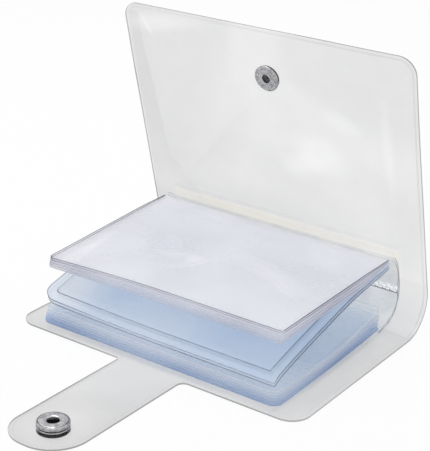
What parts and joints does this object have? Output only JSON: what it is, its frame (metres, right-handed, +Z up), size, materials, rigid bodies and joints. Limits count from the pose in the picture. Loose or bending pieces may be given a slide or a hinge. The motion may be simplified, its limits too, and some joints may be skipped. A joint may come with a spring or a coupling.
{
  "type": "photocard binder",
  "caption": "Clear vinyl photocard binder standing half open, with fanned pocket leaves, a fold-over strap and a ring snap closure.",
  "frame": {"origin": "middle of the back cover's underside, on the table", "axes": "+X along the spine, +Y from the fore edge to the spine, +Z up from the back cover"},
  "size_m": [0.114, 0.1381, 0.1002],
  "materials": {
    "cover_vinyl": "clear, slightly milky, glossy soft vinyl sheet",
    "leaf_film": "clear thin glossy film with a bluish cast",
    "spine_film": "clear thin film",
    "weld_seam": "whitish knurled weld",
    "flange_film": "cream translucent film",
    "snap_metal": "bright nickel plate"
  },
  "bodies": {
    "back_half": {"back_cover": "cover_vinyl", "lower_flange": "flange_film", "spine_film": "spine_film", "spine_weld_line": "weld_seam", "middle_leaf_weld": "weld_seam", "lower_leaf_weld": "weld_seam"},
    "spine_1": {"cover_spine_1": "cover_vinyl"},
    "spine_2": {"cover_spine_2": "cover_vinyl"},
    "spine_3": {"cover_spine_3": "cover_vinyl"},
    "spine_4": {"cover_spine_4": "cover_vinyl"},
    "spine_5": {"cover_spine_5": "cover_vinyl"},
    "spine_top": {"cover_spine_top": "cover_vinyl", "upper_flange": "flange_film"},
    "front_half": {"front_cover": "cover_vinyl", "upper_flange_weld": "weld_seam", "cover_snap_stud": "snap_metal", "cover_snap_post": "snap_metal"},
    "upper_binding": {"top_leaf_weld": "weld_seam"},
    "leaf_01": {"leaf_01_front_film": "leaf_film", "leaf_01_back_film": "leaf_film"},
    "leaf_02": {"leaf_02_front_film": "leaf_film", "leaf_02_back_film": "leaf_film"},
    "leaf_03": {"leaf_03_front_film": "leaf_film", "leaf_03_back_film": "leaf_film"},
    "leaf_04": {"leaf_04_front_film": "leaf_film", "leaf_04_back_film": "leaf_film"},
    "leaf_05": {"leaf_05_front_film": "leaf_film", "leaf_05_back_film": "leaf_film"},
    "leaf_06": {"leaf_06_front_film": "leaf_film", "leaf_06_back_film": "leaf_film"},
    "leaf_07": {"leaf_07_front_film": "leaf_film", "leaf_07_back_film": "leaf_film"},
    "leaf_08": {"leaf_08_front_film": "leaf_film", "leaf_08_back_film": "leaf_film"},
    "leaf_09": {"leaf_09_front_film": "leaf_film", "leaf_09_back_film": "leaf_film"},
    "leaf_10": {"leaf_10_front_film": "leaf_film", "leaf_10_back_film": "leaf_film"},
    "leaf_11": {"leaf_11_front_film": "leaf_film", "leaf_11_back_film": "leaf_film"},
    "leaf_12": {"leaf_12_front_film": "leaf_film", "leaf_12_back_film": "leaf_film"},
    "strap_riser": {"strap_riser": "cover_vinyl"},
    "strap_tab": {"strap_tab": "cover_vinyl", "strap_snap_socket": "snap_metal", "strap_snap_spring": "snap_metal", "strap_snap_cap": "snap_metal"}
  },
  "joints": [
    {"name": "spine_bend_1", "type": "hinge", "parent": "back_half", "child": "spine_1", "pos_m": [0, 0.02675, 0], "axis": [1, 0, 0], "range_deg": [-10.16, 0]},
    {"name": "spine_bend_2", "type": "hinge", "parent": "spine_1", "child": "spine_2", "pos_m": [0, 0.031, 0.00078], "axis": [1, 0, 0], "range_deg": [-20.33, 0]},
    {"name": "spine_bend_3", "type": "hinge", "parent": "spine_2", "child": "spine_3", "pos_m": [0, 0.0347, 0.00301], "axis": [1, 0, 0], "range_deg": [-20.33, 0]},
    {"name": "spine_bend_4", "type": "hinge", "parent": "spine_3", "child": "spine_4", "pos_m": [0, 0.03736, 0.0064], "axis": [1, 0, 0], "range_deg": [-20.33, 0]},
    {"name": "spine_bend_5", "type": "hinge", "parent": "spine_4", "child": "spine_5", "pos_m": [0, 0.03866, 0.01052], "axis": [1, 0, 0], "range_deg": [-20.33, 0]},
    {"name": "spine_bend_6", "type": "hinge", "parent": "spine_5", "child": "spine_top", "pos_m": [0, 0.03841, 0.01483], "axis": [1, 0, 0], "range_deg": [-10.16, 0]},
    {"name": "front_cover_fold", "type": "hinge", "parent": "spine_top", "child": "front_half", "pos_m": [0, 0.03449, 0.02802], "axis": [1, 0, 0], "range_deg": [0, 80.35]},
    {"name": "top_leaves_press", "type": "hinge", "parent": "back_half", "child": "upper_binding", "pos_m": [0, 0.0276, 0.0249], "axis": [1, 0, 0], "range_deg": [0, 4.21]},
    {"name": "leaf_01_turn", "type": "hinge", "parent": "upper_binding", "child": "leaf_01", "pos_m": [0, 0.0276, 0.0249], "axis": [1, 0, 0], "range_deg": [-75, 0]},
    {"name": "leaf_02_turn", "type": "hinge", "parent": "upper_binding", "child": "leaf_02", "pos_m": [0, 0.0276, 0.0249], "axis": [1, 0, 0], "range_deg": [-72.8, 0]},
    {"name": "leaf_03_turn", "type": "hinge", "parent": "upper_binding", "child": "leaf_03", "pos_m": [0, 0.0276, 0.0249], "axis": [1, 0, 0], "range_deg": [-70.55, 0]},
    {"name": "leaf_04_turn", "type": "hinge", "parent": "upper_binding", "child": "leaf_04", "pos_m": [0, 0.0276, 0.0249], "axis": [1, 0, 0], "range_deg": [-68.3, 0]},
    {"name": "leaf_05_turn", "type": "hinge", "parent": "back_half", "child": "leaf_05", "pos_m": [0, 0.0236, 0.0201], "axis": [1, 0, 0], "range_deg": [-37.55, 0]},
    {"name": "leaf_06_turn", "type": "hinge", "parent": "back_half", "child": "leaf_06", "pos_m": [0, 0.0236, 0.0201], "axis": [1, 0, 0], "range_deg": [-33.8, 0]},
    {"name": "leaf_07_turn", "type": "hinge", "parent": "back_half", "child": "leaf_07", "pos_m": [0, 0.0252, 0.0071], "axis": [1, 0, 0], "range_deg": [-18.8, 0]},
    {"name": "leaf_08_turn", "type": "hinge", "parent": "back_half", "child": "leaf_08", "pos_m": [0, 0.0252, 0.0071], "axis": [1, 0, 0], "range_deg": [-15.8, 0]},
    {"name": "leaf_09_turn", "type": "hinge", "parent": "back_half", "child": "leaf_09", "pos_m": [0, 0.0252, 0.0071], "axis": [1, 0, 0], "range_deg": [-12.8, 0]},
    {"name": "leaf_10_turn", "type": "hinge", "parent": "back_half", "child": "leaf_10", "pos_m": [0, 0.0252, 0.0071], "axis": [1, 0, 0], "range_deg": [-9.8, 0]},
    {"name": "leaf_11_turn", "type": "hinge", "parent": "back_half", "child": "leaf_11", "pos_m": [0, 0.0252, 0.0071], "axis": [1, 0, 0], "range_deg": [-6.8, 0]},
    {"name": "leaf_12_turn", "type": "hinge", "parent": "back_half", "child": "leaf_12", "pos_m": [0, 0.0252, 0.0071], "axis": [1, 0, 0], "range_deg": [-3.8, 0]},
    {"name": "strap_lift", "type": "hinge", "parent": "back_half", "child": "strap_riser", "pos_m": [0, -0.0412, 0.0007], "axis": [-1, 0, 0], "range_deg": [0, 89.22]},
    {"name": "strap_fold", "type": "hinge", "parent": "strap_riser", "child": "strap_tab", "pos_m": [0, -0.06703, 0.00105], "axis": [-1, 0, 0], "range_deg": [0, 86]}
  ],
  "couplings": [
    {"joint": "spine_bend_2", "follows": "spine_bend_1", "ratio": 2},
    {"joint": "spine_bend_3", "follows": "spine_bend_1", "ratio": 2},
    {"joint": "spine_bend_4", "follows": "spine_bend_1", "ratio": 2},
    {"joint": "spine_bend_5", "follows": "spine_bend_1", "ratio": 2},
    {"joint": "spine_bend_6", "follows": "spine_bend_1", "ratio": 1},
    {"joint": "top_leaves_press", "follows": "front_cover_fold", "ratio": 0.0523},
    {"joint": "leaf_02_turn", "follows": "leaf_01_turn", "ratio": 0.97},
    {"joint": "leaf_03_turn", "follows": "leaf_01_turn", "ratio": 0.94},
    {"joint": "leaf_04_turn", "follows": "leaf_01_turn", "ratio": 0.91},
    {"joint": "leaf_05_turn", "follows": "leaf_01_turn", "ratio": 0.5},
    {"joint": "leaf_06_turn", "follows": "leaf_01_turn", "ratio": 0.45},
    {"joint": "leaf_07_turn", "follows": "leaf_01_turn", "ratio": 0.25},
    {"joint": "leaf_08_turn", "follows": "leaf_01_turn", "ratio": 0.21},
    {"joint": "leaf_09_turn", "follows": "leaf_01_turn", "ratio": 0.17},
    {"joint": "leaf_10_turn", "follows": "leaf_01_turn", "ratio": 0.13},
    {"joint": "leaf_11_turn", "follows": "leaf_01_turn", "ratio": 0.09},
    {"joint": "leaf_12_turn", "follows": "leaf_01_turn", "ratio": 0.05}
  ]
}
